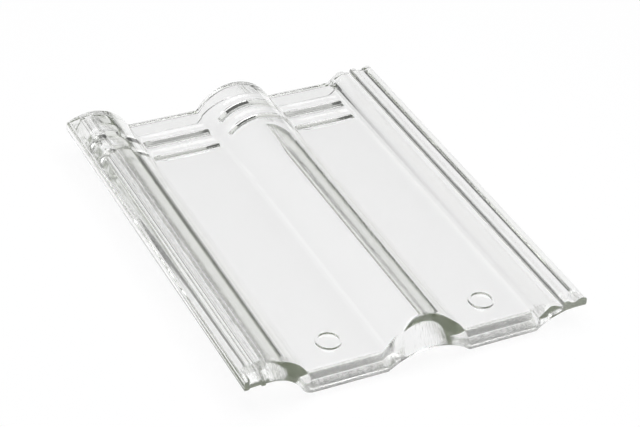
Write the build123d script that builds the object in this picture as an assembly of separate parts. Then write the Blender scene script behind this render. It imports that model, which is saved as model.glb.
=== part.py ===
# Double roman interlocking roof tile moulded in one piece from clear acrylic.
# Millimetres. X runs across the tile from the overlock edge to the underlock edge,
# Y runs from the head edge to the tail edge, Z is up. The flat top of the pans is Z = 0
# while the section is drawn, and the finished tile is lifted so that it stands on Z = 0.
import math
import os

from build123d import *

os.makedirs("parts", exist_ok=True)

# Driving dimensions of the whole tile
TILE_LENGTH = 418.0
TILE_WIDTH = 330.0
ROLL_PITCH = 150.0
WALL = 4.0

# Driving dimensions of the rolls
ROLL_HEIGHT = 24.0
ROLL_RADIUS = 43.0
ROLL_FOOT_FILLET = 3.0
SIDE_ROLL_X = 24.5
CHANNEL_RADIUS = 22.0
CHANNEL_END_Y = 345.0
CHANNEL_END_RUN = 25.0
SIDE_CHANNEL_SHIFT = 4.0

# Driving dimensions of the overlock, the covering side lock under the side roll
LIP_WIDTH = 4.5
LIP_BOTTOM_Z = 8.0
LUG_X = 17.6
LUG_WIDTH = 3.6
LUG_BOTTOM_Z = 8.2
LUG_HEAD_TOP_Z = 14.0
LOCK_CLEAR_X = 31.0
LOCK_CLEAR_Z = 12.8
BLOCK_WIDTH = 20.5

# Driving dimensions of the underlock, the covered side lock
UNDERLOCK_WIDTH = 49.0
FLANK_RUN = 11.0
FLANK_FOOT_FILLET = 14.0
RIDGE_TOP_Z = 10.5
RIDGE_FILLET = 5.0
RIDGE_SHOULDER = 5.0
RIDGE_SLOPE_RUN = 4.0
RIDGE_OUTER_Z = 7.8
GROOVE_FROM_FLANK = 23.9
GROOVE_WIDTH = 1.1
GROOVE_FLOOR_Z = 5.4
BEAD_TOP_Z = 11.0
BEAD_WIDTH = 5.0
CHANNEL_FLOOR_Z = 8.0
CHANNEL_SIDE_RUN = 3.5
CHANNEL_WIDTH = 4.5
EDGE_TOP_Z = 10.8
SOFT_FILLET = 2.2
UNDERLOCK_BOTTOM_Z = 2.4

# Driving dimensions of the head, where the section turns down to a level foot
HEAD_SET_BACK = 15.0
FLANK_SET_BACK = 8.0
NOSE_DEPTH = 14.0
HEAD_OPEN_HALF = 18.0
SIDE_SHOULDER = 17.0
CENTRE_SHOULDER = 26.0
HEAD_DROP = 14.0
HEAD_EDGE = 5.0
HEAD_FOOT = 3.5
HEAD_WALL_RUN = 3.0
HEAD_ROLL_RISE = 14.0
HEAD_SIDE_RISE = 24.0
HEAD_LOCK_Z = 9.5
HEAD_SIDE_FILLET = 13.0
END_WALL = 4.0
END_WALL_RISE = (5.0, 9.5, 12.3, 14.8, 15.5)
END_WALL_STEP = (5.0, 12.5, 20.5, 28.0, 37.0)

# Driving dimensions of the tail and the weather bars under it
TAIL_DROP = 18.0
TAIL_WALL = 3.5
BAR_THICKNESS = 3.0
BAR_DEPTH = 7.0
BAR_NEAR_TAIL = 33.0
BAR_SPACING = 27.0
BAR_RAMP = 14.0
BAR_POINT = 10.0
BAR_TIP = 0.5
BAR_END_GAP = 2.0
BAR_ARCH_DEPTH = 5.0
BAR_ARCH_HALF = 28.0

# Driving dimensions of the round nail spots on the pans
SPOT_DIAMETER = 24.0
SPOT_BEAD = 1.3
SPOT_SINK = 0.5
SPOT_FROM_HEAD = 42.0

# Driving radii of the moulded corners
LOCK_CORNER = 0.3
LIP_CORNER = 1.0


def foot_half(radius, fillet, height):
    """Half width of a roll measured to where its foot fillet meets the pan."""
    centre_z = height - radius
    return math.sqrt((radius + fillet) ** 2 - (fillet - centre_z) ** 2)


HALF_FOOT = foot_half(ROLL_RADIUS, ROLL_FOOT_FILLET, ROLL_HEIGHT)
CENTRE_ROLL_X = SIDE_ROLL_X + ROLL_PITCH
FLANK_FOOT_X = TILE_WIDTH - UNDERLOCK_WIDTH
GROOVE_X = FLANK_FOOT_X + GROOVE_FROM_FLANK
LEFT_PAN = (SIDE_ROLL_X + HALF_FOOT, CENTRE_ROLL_X - HALF_FOOT)
RIGHT_PAN = (CENTRE_ROLL_X + HALF_FOOT, FLANK_FOOT_X)
ROLL_CENTRE_Z = ROLL_HEIGHT - ROLL_RADIUS
SIDE_CHANNEL_X = SIDE_ROLL_X - SIDE_CHANNEL_SHIFT
CHANNEL_CENTRE_Z = ROLL_HEIGHT - WALL - CHANNEL_RADIUS


def roll_points(x_centre, offset, side):
    """Tangent point and mid point of one roll foot, on the surface lowered by offset."""
    radius = ROLL_RADIUS - offset
    fillet = ROLL_FOOT_FILLET + offset
    fx = x_centre + side * HALF_FOOT
    fz = ROLL_FOOT_FILLET
    dx = x_centre - fx
    dz = ROLL_CENTRE_Z - fz
    length = math.hypot(dx, dz)
    ux = dx / length
    uz = dz / length
    on_pan = (fx, fz - fillet)
    on_roll = (fx + ux * fillet, fz + uz * fillet)
    angle_pan = -math.pi / 2
    angle_roll = math.atan2(uz, ux)
    if angle_roll > 0:
        angle_roll -= 2 * math.pi
    mid_angle = 0.5 * (angle_pan + angle_roll)
    middle = (fx + fillet * math.cos(mid_angle), fz + fillet * math.sin(mid_angle))
    return on_pan, middle, on_roll, radius


def roll_z(x_centre, offset, x):
    """Height of a roll's arc at x on the surface lowered by offset."""
    radius = ROLL_RADIUS - offset
    return ROLL_CENTRE_Z + math.sqrt(radius ** 2 - (x - x_centre) ** 2)


def upper_edges(offset, x_left):
    """Edges of the section from the side roll to the foot of the underlock flank."""
    side_pan, side_mid, side_roll, side_radius = roll_points(SIDE_ROLL_X, offset, 1)
    left_pan, left_mid, left_roll, centre_radius = roll_points(CENTRE_ROLL_X, offset, -1)
    right_pan, right_mid, right_roll, centre_radius = roll_points(CENTRE_ROLL_X, offset, 1)
    start = (x_left, roll_z(SIDE_ROLL_X, offset, x_left))
    quarter_x = 0.5 * (x_left + SIDE_ROLL_X)
    quarter = (quarter_x, roll_z(SIDE_ROLL_X, offset, quarter_x))
    crest = (SIDE_ROLL_X, ROLL_CENTRE_Z + side_radius)
    fall_x = 0.5 * (SIDE_ROLL_X + side_roll[0])
    fall = (fall_x, roll_z(SIDE_ROLL_X, offset, fall_x))
    centre_crest = (CENTRE_ROLL_X, ROLL_CENTRE_Z + centre_radius)
    end = (FLANK_FOOT_X, -offset)
    edges = [
        ThreePointArc(start, quarter, crest),
        ThreePointArc(crest, fall, side_roll),
        ThreePointArc(side_roll, side_mid, side_pan),
        Line(side_pan, left_pan),
        ThreePointArc(left_pan, left_mid, left_roll),
        ThreePointArc(left_roll, centre_crest, right_roll),
        ThreePointArc(right_roll, right_mid, right_pan),
        Line(right_pan, end),
    ]
    return edges, start, end


def channel_z(x_middle, x):
    """Height of a channel's arc at x."""
    return CHANNEL_CENTRE_Z + math.sqrt(CHANNEL_RADIUS ** 2 - (x - x_middle) ** 2)


def channel_edges(x_from, x_middle):
    """Right half of a channel from x_from: an arc that ends upright and drops to the pan level."""
    low_z = max(CHANNEL_CENTRE_Z, -WALL)
    wall_x = x_middle + math.sqrt(CHANNEL_RADIUS ** 2 - (low_z - CHANNEL_CENTRE_Z) ** 2)
    start = (x_from, channel_z(x_middle, x_from))
    half_x = 0.5 * (x_from + wall_x)
    half = (half_x, channel_z(x_middle, half_x))
    foot = (wall_x, -WALL)
    edges = [ThreePointArc(start, half, (wall_x, low_z))]
    if low_z > -WALL:
        edges.append(Line((wall_x, low_z), foot))
    return edges, start, foot


def lower_edges(x_left, channels):
    """Edges of the underside: thin rolls near the tail, channels with solid right flanks ahead."""
    block_x = x_left + BLOCK_WIDTH
    block = [(x_left, LOCK_CLEAR_Z), (block_x, LOCK_CLEAR_Z)]
    left_pan, left_mid, left_roll, radius = roll_points(CENTRE_ROLL_X, WALL, -1)
    right_pan, right_mid, right_roll, radius = roll_points(CENTRE_ROLL_X, WALL, 1)
    side_pan, side_mid, side_roll, radius = roll_points(SIDE_ROLL_X, WALL, 1)
    crest = (CENTRE_ROLL_X, ROLL_CENTRE_Z + radius)
    rise_x = 0.5 * (left_roll[0] + crest[0])
    rise = (rise_x, roll_z(CENTRE_ROLL_X, WALL, rise_x))
    end = (FLANK_FOOT_X, -WALL)
    edges = [Line(block[0], block[1])]
    if channels:
        curve, start, foot = channel_edges(block_x, SIDE_CHANNEL_X)
        edges += [Line(block[1], start)] + curve + [Line(foot, left_pan)]
    else:
        high = (block_x, roll_z(SIDE_ROLL_X, WALL, block_x))
        fall_x = 0.5 * (block_x + side_roll[0])
        fall = (fall_x, roll_z(SIDE_ROLL_X, WALL, fall_x))
        edges += [Line(block[1], high), ThreePointArc(high, fall, side_roll)]
        edges += [ThreePointArc(side_roll, side_mid, side_pan), Line(side_pan, left_pan)]
    edges += [ThreePointArc(left_pan, left_mid, left_roll), ThreePointArc(left_roll, rise, crest)]
    if channels:
        curve, start, foot = channel_edges(CENTRE_ROLL_X, CENTRE_ROLL_X)
        edges += curve + [Line(foot, end)]
    else:
        drop_x = 0.5 * (crest[0] + right_roll[0])
        drop = (drop_x, roll_z(CENTRE_ROLL_X, WALL, drop_x))
        edges += [ThreePointArc(crest, drop, right_roll), ThreePointArc(right_roll, right_mid, right_pan)]
        edges += [Line(right_pan, end)]
    return edges, block[0], end


def arch_points(x_centre, foot_z, rise, fillet, side):
    """Foot, fillet middle and tangent point of a low arch, with its radius."""
    radius = (HALF_FOOT ** 2 + rise ** 2 - 2 * fillet * rise) / (2 * rise)
    centre_z = foot_z + rise - radius
    fx = x_centre + side * HALF_FOOT
    fz = foot_z + fillet
    dx = x_centre - fx
    dz = centre_z - fz
    length = math.hypot(dx, dz)
    on_roll = (fx + dx / length * fillet, fz + dz / length * fillet)
    mx = 0.5 * (fx + on_roll[0]) - fx
    mz = 0.5 * (foot_z + on_roll[1]) - fz
    middle_length = math.hypot(mx, mz)
    middle = (fx + mx / middle_length * fillet, fz + mz / middle_length * fillet)
    return (fx, foot_z), middle, on_roll, radius, centre_z


def head_edges(lift):
    """Edges of the head's foot line, the same count as the section has, raised by lift."""
    foot_z = -HEAD_DROP + lift
    start = (LIP_WIDTH, HEAD_LOCK_Z + lift)
    side_pan, side_mid, side_roll, radius, centre_z = arch_points(
        SIDE_ROLL_X, foot_z, HEAD_SIDE_RISE, HEAD_SIDE_FILLET, 1)
    crest = (SIDE_ROLL_X, centre_z + radius)
    quarter_x = 0.5 * (start[0] + crest[0])
    quarter = (quarter_x, 0.5 * (start[1] + crest[1]) + 0.3)
    fall_x = 0.5 * (SIDE_ROLL_X + side_roll[0])
    fall = (fall_x, centre_z + math.sqrt(radius ** 2 - (fall_x - SIDE_ROLL_X) ** 2))
    left_pan, left_mid, left_roll, radius, centre_z = arch_points(
        CENTRE_ROLL_X, foot_z, HEAD_ROLL_RISE, ROLL_FOOT_FILLET, -1)
    right_pan, right_mid, right_roll, radius, centre_z = arch_points(
        CENTRE_ROLL_X, foot_z, HEAD_ROLL_RISE, ROLL_FOOT_FILLET, 1)
    centre_crest = (CENTRE_ROLL_X, centre_z + radius)
    end = (FLANK_FOOT_X, foot_z)
    edges = [
        ThreePointArc(start, quarter, crest),
        ThreePointArc(crest, fall, side_roll),
        ThreePointArc(side_roll, side_mid, side_pan),
        Line(side_pan, left_pan),
        ThreePointArc(left_pan, left_mid, left_roll),
        ThreePointArc(left_roll, centre_crest, right_roll),
        ThreePointArc(right_roll, right_mid, right_pan),
        Line(right_pan, end),
    ]
    return edges, start, end


def closed_below(edges, start, end, floor_z):
    """Face between a line of edges and a level floor line below it."""
    pieces = []
    for item in edges:
        pieces.extend(item.edges())
    pieces.extend(Polyline(end, (end[0], floor_z), (start[0], floor_z), start).edges())
    return Face(Wire(pieces))


def underlock_corners():
    """Top of the underlock from the flank to the outer edge, as points with corner radii."""
    shoulder_x = FLANK_FOOT_X + FLANK_RUN
    slope_x = shoulder_x + RIDGE_SHOULDER
    groove_right = GROOVE_X + GROOVE_WIDTH
    bead_right = groove_right + BEAD_WIDTH
    channel_left = bead_right + CHANNEL_SIDE_RUN
    channel_right = channel_left + CHANNEL_WIDTH
    edge_left = channel_right + CHANNEL_SIDE_RUN
    edge_right = TILE_WIDTH - (TILE_WIDTH - edge_left) / 3.0
    return [
        (shoulder_x, RIDGE_TOP_Z, RIDGE_FILLET),
        (slope_x, RIDGE_TOP_Z - 0.5, RIDGE_FILLET),
        (slope_x + RIDGE_SLOPE_RUN, RIDGE_OUTER_Z + 0.2, RIDGE_FILLET),
        (GROOVE_X, RIDGE_OUTER_Z, LOCK_CORNER),
        (GROOVE_X + 0.1, GROOVE_FLOOR_Z, LOCK_CORNER),
        (groove_right - 0.1, GROOVE_FLOOR_Z, LOCK_CORNER),
        (groove_right, BEAD_TOP_Z, LIP_CORNER),
        (bead_right, BEAD_TOP_Z, SOFT_FILLET),
        (channel_left, CHANNEL_FLOOR_Z, SOFT_FILLET),
        (channel_right, CHANNEL_FLOOR_Z, SOFT_FILLET),
        (edge_left, EDGE_TOP_Z, SOFT_FILLET),
        (edge_right, EDGE_TOP_Z - 0.2, SOFT_FILLET),
        (TILE_WIDTH, EDGE_TOP_Z - 2.6, LIP_CORNER),
        (TILE_WIDTH, UNDERLOCK_BOTTOM_Z, LOCK_CORNER),
    ]


def fitting_radius(face, corner, radius):
    """The radius asked for, or a smaller one where the sides of the corner are short."""
    ways = []
    room = []
    for edge in face.edges():
        for place, sign in ((0, 1), (1, -1)):
            end = edge.position_at(place)
            if math.hypot(end.X - corner.X, end.Y - corner.Y) < 0.001:
                ways.append(edge.tangent_at(place) * sign)
                room.append(0.45 * edge.length)
    between = ways[0].X * ways[1].X + ways[0].Y * ways[1].Y
    half_angle = 0.5 * math.acos(max(-1.0, min(1.0, between)))
    return min(radius, min(room) * math.tan(half_angle))


def rounded(face, corners):
    """Round the corners of a face that lie on the given points, each to its own radius."""
    for x, z, radius in corners:
        near = min(face.vertices(), key=lambda v: math.hypot(v.X - x, v.Y - z))
        face = face.fillet_2d(fitting_radius(face, near, radius), [near])
    return face


def section(channels):
    """Closed face of the tile's whole section, with or without the channels' solid flanks."""
    top, top_start, top_end = upper_edges(0.0, 0.0)
    bottom, bottom_start, bottom_end = lower_edges(LIP_WIDTH, channels)
    corners = underlock_corners()
    points = [(x, z) for x, z, radius in corners]
    flank_top = (FLANK_FOOT_X + FLANK_RUN + WALL * 0.6, UNDERLOCK_BOTTOM_Z)
    lip_inside = (LIP_WIDTH, LIP_BOTTOM_Z)
    lip_outside = (0.0, LIP_BOTTOM_Z)
    pieces = []
    for item in top:
        pieces.extend(item.edges())
    pieces.extend(Polyline(top_end, *points).edges())
    pieces.extend(Polyline(points[-1], flank_top, bottom_end).edges())
    for item in bottom:
        pieces.extend(item.edges())
    pieces.extend(Polyline(bottom_start, lip_inside, lip_outside, top_start).edges())
    face = Face(Wire(pieces))
    flank = [(*top_end, FLANK_FOOT_FILLET), (*bottom_end, FLANK_FOOT_FILLET), (*flank_top, RIDGE_FILLET)]
    lip = [(*lip_inside, LIP_CORNER), (*lip_outside, LIP_CORNER), (*top_start, LIP_CORNER)]
    return rounded(face, corners + flank + lip)


def stand(face, y):
    """Stand a face drawn as X and Z at one Y."""
    return Plane(origin=(0, y, 0), x_dir=(1, 0, 0), z_dir=(0, -1, 0)) * face


def run_along(face, y_from, y_to):
    """Extrude a face drawn as X and Z over a stretch of Y."""
    return extrude(stand(face, y_to), amount=y_to - y_from, dir=(0, -1, 0))


def block(x_from, x_to, y_from, y_to, z_from, z_to):
    """Plain box given by its limits."""
    size = (x_to - x_from, y_to - y_from, z_to - z_from)
    middle = (0.5 * (x_from + x_to), 0.5 * (y_from + y_to), 0.5 * (z_from + z_to))
    return Pos(*middle) * Box(*size)


def across(points, x_from, x_to):
    """Extrude a polygon drawn as Y and Z over a stretch of X."""
    face = Face(Wire(Polyline(*points, close=True).edges()))
    placed = Plane(origin=(x_from, 0, 0), x_dir=(0, 1, 0), z_dir=(1, 0, 0)) * face
    return extrude(placed, amount=x_to - x_from, dir=(1, 0, 0))


HEAD_DEPTH = HEAD_SET_BACK + HEAD_WALL_RUN
FLOOR_Z = -HEAD_DROP


def arc_strip(x_from, x_to, height, floor_z):
    """Face below a stretch of one arc, down to a level line."""
    half_x = 0.5 * (x_from + x_to)
    left = (x_from, height(x_from))
    right = (x_to, height(x_to))
    pieces = ThreePointArc(left, (half_x, height(half_x)), right).edges()
    pieces.extend(Polyline(right, (x_to, floor_z), (x_from, floor_z), left).edges())
    return Face(Wire(pieces))


def foot_z(x, x_centre, rise, fillet):
    """Height of the head's foot line on the arc of one roll."""
    foot, middle, on_roll, radius, centre_z = arch_points(x_centre, FLOOR_Z, rise, fillet, 1)
    return centre_z + math.sqrt(radius ** 2 - (x - x_centre) ** 2)


def make_shoulders():
    """Flanks of the rolls carried further towards the head edge than the pans are."""
    tangent = HALF_FOOT * ROLL_RADIUS / (ROLL_RADIUS + ROLL_FOOT_FILLET) - 0.3
    places = [
        (SIDE_ROLL_X, SIDE_ROLL_X + SIDE_SHOULDER, HEAD_SIDE_RISE, HEAD_SIDE_FILLET, 1),
        (CENTRE_ROLL_X, CENTRE_ROLL_X + CENTRE_SHOULDER, HEAD_ROLL_RISE, ROLL_FOOT_FILLET, 1),
        (CENTRE_ROLL_X, CENTRE_ROLL_X - CENTRE_SHOULDER, HEAD_ROLL_RISE, ROLL_FOOT_FILLET, -1),
    ]
    shoulders = []
    for x_centre, x_in, rise, fillet, side in places:
        foot = arch_points(x_centre, FLOOR_Z, rise, fillet, 1)
        reach = min(tangent, abs(foot[2][0] - x_centre) - 0.3)
        x_out = x_centre + side * reach
        ends = sorted((x_in, x_out))
        upper = arc_strip(*ends, lambda x: roll_z(x_centre, 0.0, x), FLOOR_Z)
        lower = arc_strip(*ends, lambda x: foot_z(x, x_centre, rise, fillet) + HEAD_EDGE, FLOOR_Z)
        front = loft([stand(upper, FLANK_SET_BACK), stand(lower, 0.0)], ruled=True)
        shoulders.append(front + run_along(upper, FLANK_SET_BACK, HEAD_DEPTH))
    return shoulders


def make_head():
    """Turned down head: a solid nose along the pans and flanks, opened out under the crests."""
    top, top_start, top_end = upper_edges(0.0, LIP_WIDTH)
    over, over_start, over_end = head_edges(HEAD_EDGE)
    upper = closed_below(top, top_start, top_end, FLOOR_Z)
    lower = closed_below(over, over_start, over_end, FLOOR_Z)
    outer = loft([stand(upper, HEAD_SET_BACK), stand(lower, 0.0)], ruled=True)
    outer = outer + run_along(upper, HEAD_SET_BACK, HEAD_DEPTH)
    for shoulder in make_shoulders():
        outer = outer + shoulder
    below = FLOOR_Z - HEAD_EDGE
    under, under_start, under_end = lower_edges(LIP_WIDTH, True)
    foot, foot_start, foot_end = head_edges(0.0)
    under_face = closed_below(under, under_start, under_end, below)
    foot_face = closed_below(foot, foot_start, foot_end, below)
    outer = outer - run_along(foot_face, -1.0, NOSE_DEPTH)
    outer = outer - run_along(under_face, NOSE_DEPTH, HEAD_DEPTH + 1.0)
    side_left = LIP_WIDTH + BLOCK_WIDTH
    side_arch = (SIDE_ROLL_X, HEAD_SIDE_RISE, HEAD_SIDE_FILLET)
    centre_arch = (CENTRE_ROLL_X, HEAD_ROLL_RISE, ROLL_FOOT_FILLET)
    opens = [
        (side_left, SIDE_CHANNEL_X + HEAD_OPEN_HALF, SIDE_CHANNEL_X, side_arch),
        (CENTRE_ROLL_X - HEAD_OPEN_HALF, CENTRE_ROLL_X + HEAD_OPEN_HALF, CENTRE_ROLL_X, centre_arch),
    ]
    for x_from, x_to, x_middle, arch in opens:
        back = arc_strip(x_from, x_to, lambda x: channel_z(x_middle, x), below)
        front = arc_strip(x_from, x_to, lambda x: foot_z(x, *arch), below)
        outer = outer - loft([stand(back, HEAD_DEPTH), stand(front, HEAD_FOOT)], ruled=True)
    return outer


def make_solid_flanks():
    """Right flanks of the rolls filled down to the pans, with an end that slopes up to the tail."""
    filled = run_along(section(True), HEAD_DEPTH, CHANNEL_END_Y)
    keep = across([
        (HEAD_DEPTH - 1.0, -WALL - 1.0),
        (CHANNEL_END_Y - CHANNEL_END_RUN, -WALL - 1.0),
        (CHANNEL_END_Y, ROLL_HEIGHT + 1.0),
        (HEAD_DEPTH - 1.0, ROLL_HEIGHT + 1.0),
    ], -1.0, TILE_WIDTH + 1.0)
    return filled & keep


def make_head_sides():
    """Lip and underlock carried on to the head edge, with the cheek and the end wall."""
    whole = run_along(section(True), 0.0, HEAD_DEPTH)
    lip = whole & block(-1.0, LIP_WIDTH, -1.0, HEAD_DEPTH + 1.0, 0.0, ROLL_HEIGHT + 5.0)
    lock = whole & block(FLANK_FOOT_X, TILE_WIDTH + 1.0, -1.0, HEAD_DEPTH + 1.0, -30.0, 30.0)
    cheek = across([
        (0.0, FLOOR_Z),
        (NOSE_DEPTH, FLOOR_Z),
        (NOSE_DEPTH, -WALL),
        (HEAD_DEPTH, -WALL),
        (HEAD_DEPTH, 0.0),
        (0.0, 0.0),
    ], FLANK_FOOT_X, FLANK_FOOT_X + WALL)
    outline = [(FLANK_FOOT_X, 0.0), (FLANK_FOOT_X, FLOOR_Z)]
    for step, rise in zip(END_WALL_STEP, END_WALL_RISE):
        outline.append((FLANK_FOOT_X + step, FLOOR_Z + rise))
    outline.append((TILE_WIDTH, FLOOR_Z + END_WALL_RISE[-1]))
    outline.append((TILE_WIDTH, UNDERLOCK_BOTTOM_Z + 1.0))
    outline.append((FLANK_FOOT_X + FLANK_RUN + WALL, UNDERLOCK_BOTTOM_Z + 1.0))
    wall = run_along(Face(Wire(Polyline(*outline, close=True).edges())), 0.0, END_WALL)
    return lip, lock, cheek, wall


def make_lug():
    """Small rib under the side roll that drops into the neighbour's channel."""
    left = LUG_X - 0.5 * LUG_WIDTH
    right = LUG_X + 0.5 * LUG_WIDTH
    high = roll_z(SIDE_ROLL_X, 0.5 * WALL, left)
    return across([
        (0.0, LUG_BOTTOM_Z),
        (TILE_LENGTH, LUG_BOTTOM_Z),
        (TILE_LENGTH, high),
        (HEAD_SET_BACK, high),
        (0.0, LUG_HEAD_TOP_Z),
    ], left, right)


def make_tail_skirt():
    """Wall hanging from the tail edge, shaped to sit on the top of the next tile down."""
    y_from = TILE_LENGTH - TAIL_WALL
    edges, start, end = upper_edges(0.0, LIP_WIDTH)
    shoulder = (end[0] + FLANK_RUN, RIDGE_TOP_Z - 1.0)
    edges = edges + [Line(end, shoulder)]
    hanging = run_along(closed_below(edges, start, shoulder, -TAIL_DROP - 1.0), y_from, TILE_LENGTH)
    far_start = (0.0, roll_z(SIDE_ROLL_X, 0.0, 0.0))
    wide, wide_start, wide_end = upper_edges(0.0, 0.0)
    far_end = (end[0] + 2.0 * FLANK_RUN, 2.0 * (RIDGE_TOP_Z - 1.0))
    wide = wide + [Line(wide_end, far_end)]
    next_tile = closed_below(wide, far_start, far_end, -TAIL_DROP)
    next_tile = Pos(0, 0, -TAIL_DROP) * run_along(next_tile, y_from - 1.0, TILE_LENGTH + 1.0)
    clear = block(0.0, LOCK_CLEAR_X, y_from - 1.0, TILE_LENGTH + 1.0, -30.0, LOCK_CLEAR_Z)
    return hanging - next_tile - clear


def upright_bar(points, y_middle):
    """Thin bar across the tile from a closed outline drawn as X and Z."""
    half = 0.5 * BAR_THICKNESS
    return run_along(Face(Wire(Polyline(*points, close=True).edges())), y_middle - half, y_middle + half)


def pan_bar(pan, y_middle):
    """Bar under one pan, shaped like a canoe: ramped up to nothing and pointed at both ends."""
    left = pan[0] + BAR_END_GAP
    right = pan[1] - BAR_END_GAP
    inside = -0.5 * WALL
    bar = upright_bar([
        (left, inside),
        (left, -WALL),
        (left + BAR_RAMP, -WALL - BAR_DEPTH),
        (right - BAR_RAMP, -WALL - BAR_DEPTH),
        (right, -WALL),
        (right, inside),
    ], y_middle)
    half = 0.5 * BAR_THICKNESS
    tip = 0.5 * BAR_TIP
    near_side = [
        (left, y_middle - tip),
        (left + BAR_POINT, y_middle - half),
        (right - BAR_POINT, y_middle - half),
        (right, y_middle - tip),
    ]
    far_side = [(x, 2.0 * y_middle - y) for x, y in reversed(near_side)]
    plan = Face(Wire(Polyline(*near_side, *far_side, close=True).edges()))
    deep = WALL + BAR_DEPTH + 1.0
    canoe = extrude(Pos(0, 0, -deep) * plan, amount=deep, dir=(0, 0, 1))
    return bar & canoe


def roll_bar(x_centre, x_from, y_middle):
    """Crescent bar under one roll, deepest under the crest."""
    half = 0.5 * BAR_THICKNESS
    top_z = ROLL_HEIGHT - WALL
    inner = ROLL_RADIUS - WALL
    end_z = ROLL_CENTRE_Z + math.sqrt(inner ** 2 - BAR_ARCH_HALF ** 2)
    middle_z = ROLL_CENTRE_Z + inner - BAR_ARCH_DEPTH
    ends = [(x_centre - BAR_ARCH_HALF, end_z), (x_centre + BAR_ARCH_HALF, end_z)]
    raised = 0.5 * WALL
    high = [(x_centre - BAR_ARCH_HALF, end_z + raised), (x_centre + BAR_ARCH_HALF, end_z + raised)]
    arc_low = ThreePointArc(ends[0], (x_centre, middle_z), ends[1])
    arc_high = ThreePointArc(high[1], (x_centre, top_z + raised), high[0])
    pieces = [arc_low.edge(), Line(ends[1], high[1]).edge(), arc_high.edge(), Line(high[0], ends[0]).edge()]
    bar = run_along(Face(Wire(pieces)), y_middle - half, y_middle + half)
    keep = block(x_from, x_centre + HALF_FOOT, y_middle - 5.0, y_middle + 5.0, -30.0, 60.0)
    return bar & keep


def make_weather_bars():
    """Two bars across the underside near the tail, under each pan and each roll."""
    bars = []
    for index in range(2):
        y_middle = TILE_LENGTH - BAR_NEAR_TAIL - index * BAR_SPACING
        bars.append(pan_bar(LEFT_PAN, y_middle))
        bars.append(pan_bar(RIGHT_PAN, y_middle))
        bars.append(roll_bar(SIDE_ROLL_X, LUG_X, y_middle))
        bars.append(roll_bar(CENTRE_ROLL_X, CENTRE_ROLL_X - HALF_FOOT, y_middle))
    return bars


def make_spots():
    """Raised round beads on the pans that mark where a nail may be driven."""
    middle_x = 0.5 * (LEFT_PAN[0] + LEFT_PAN[1]) - 2.0
    beads = []
    for x in (middle_x, middle_x + ROLL_PITCH):
        bead = Torus(0.5 * SPOT_DIAMETER - SPOT_BEAD, SPOT_BEAD)
        beads.append(Pos(x, SPOT_FROM_HEAD, -SPOT_SINK) * bead)
    return beads


body = run_along(section(False), HEAD_DEPTH, TILE_LENGTH)
body = body + make_solid_flanks()
body = body + make_head()
for piece in make_head_sides():
    body = body + piece
body = body + make_lug()
body = body + make_tail_skirt()
for bar in make_weather_bars():
    body = body + bar
for bead in make_spots():
    body = body + bead

tile = Pos(-0.5 * TILE_WIDTH, -0.5 * TILE_LENGTH, max(HEAD_DROP, TAIL_DROP)) * body
if isinstance(tile, Compound):
    print("solids in the tile", len(tile.solids()))
    tile = max(tile.solids(), key=lambda item: item.volume)
tile.label = "roof_tile"
box = tile.bounding_box()
print("size", [round(value, 2) for value in (box.size.X, box.size.Y, box.size.Z)])
print("volume in cubic centimetres", round(tile.volume / 1000.0, 1), "valid", tile.is_valid)
export_step(tile, "parts/roof_tile.step")
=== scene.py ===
# %% [markdown]
# # A clear acrylic roof tile in Blender
#
# This tile is moulded in one piece from clear acrylic and lets daylight in between clay or
# concrete tiles of the same format. The lesson loads the solid model of the tile, draws a finer
# skin of the same section over it, gives the skin the optics of acrylic, and lights it on
# white paper.

# %% Load the frame
import math

import bpy
import numpy as np
from mathutils import Matrix, Vector


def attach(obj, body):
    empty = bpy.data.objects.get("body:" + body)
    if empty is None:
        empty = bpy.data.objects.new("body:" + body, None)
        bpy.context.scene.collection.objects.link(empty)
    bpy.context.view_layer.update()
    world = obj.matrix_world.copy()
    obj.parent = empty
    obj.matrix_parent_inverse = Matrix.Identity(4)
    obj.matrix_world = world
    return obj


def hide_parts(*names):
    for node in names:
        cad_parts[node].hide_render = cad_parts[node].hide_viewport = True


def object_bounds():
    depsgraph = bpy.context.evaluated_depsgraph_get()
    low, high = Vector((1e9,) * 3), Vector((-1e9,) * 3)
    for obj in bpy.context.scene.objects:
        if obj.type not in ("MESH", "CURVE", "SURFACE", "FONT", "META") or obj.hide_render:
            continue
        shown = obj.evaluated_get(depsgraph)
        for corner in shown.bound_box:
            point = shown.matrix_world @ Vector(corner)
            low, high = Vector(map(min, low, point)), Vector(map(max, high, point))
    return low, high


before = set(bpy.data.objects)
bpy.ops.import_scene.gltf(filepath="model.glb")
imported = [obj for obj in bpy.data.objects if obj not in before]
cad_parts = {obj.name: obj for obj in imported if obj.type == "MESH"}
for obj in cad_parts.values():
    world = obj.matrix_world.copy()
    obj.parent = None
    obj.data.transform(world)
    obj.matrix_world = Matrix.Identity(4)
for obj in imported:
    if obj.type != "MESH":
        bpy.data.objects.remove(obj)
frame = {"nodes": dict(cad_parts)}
cad_low, cad_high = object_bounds()
print("solid pieces:", ", ".join(frame["nodes"]))

# %% [markdown]
# ## Millimetres of the tile
#
# A tile maker measures from the overlock's outer edge, from the head edge and from the flat top
# of the pans. The skin is drawn in those millimetres, because the sizes then read like a
# drawing. One function turns such a point into the metres of the frame.

# %% Millimetres of the tile
TILE_WIDTH, TILE_LENGTH, TILE_HEIGHT = (round(1000 * (b - a), 1) for a, b in zip(cad_low, cad_high))
ROLL_HEIGHT = 24.0
PAN_LIFT = TILE_HEIGHT - ROLL_HEIGHT


def in_frame(x, y, z):
    """A point in the tile's millimetres as metres in the frame."""
    return Vector(((x - TILE_WIDTH / 2) / 1000, (y - TILE_LENGTH / 2) / 1000, (z + PAN_LIFT) / 1000))


print("tile in millimetres:", TILE_WIDTH, TILE_LENGTH, TILE_HEIGHT)

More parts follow.
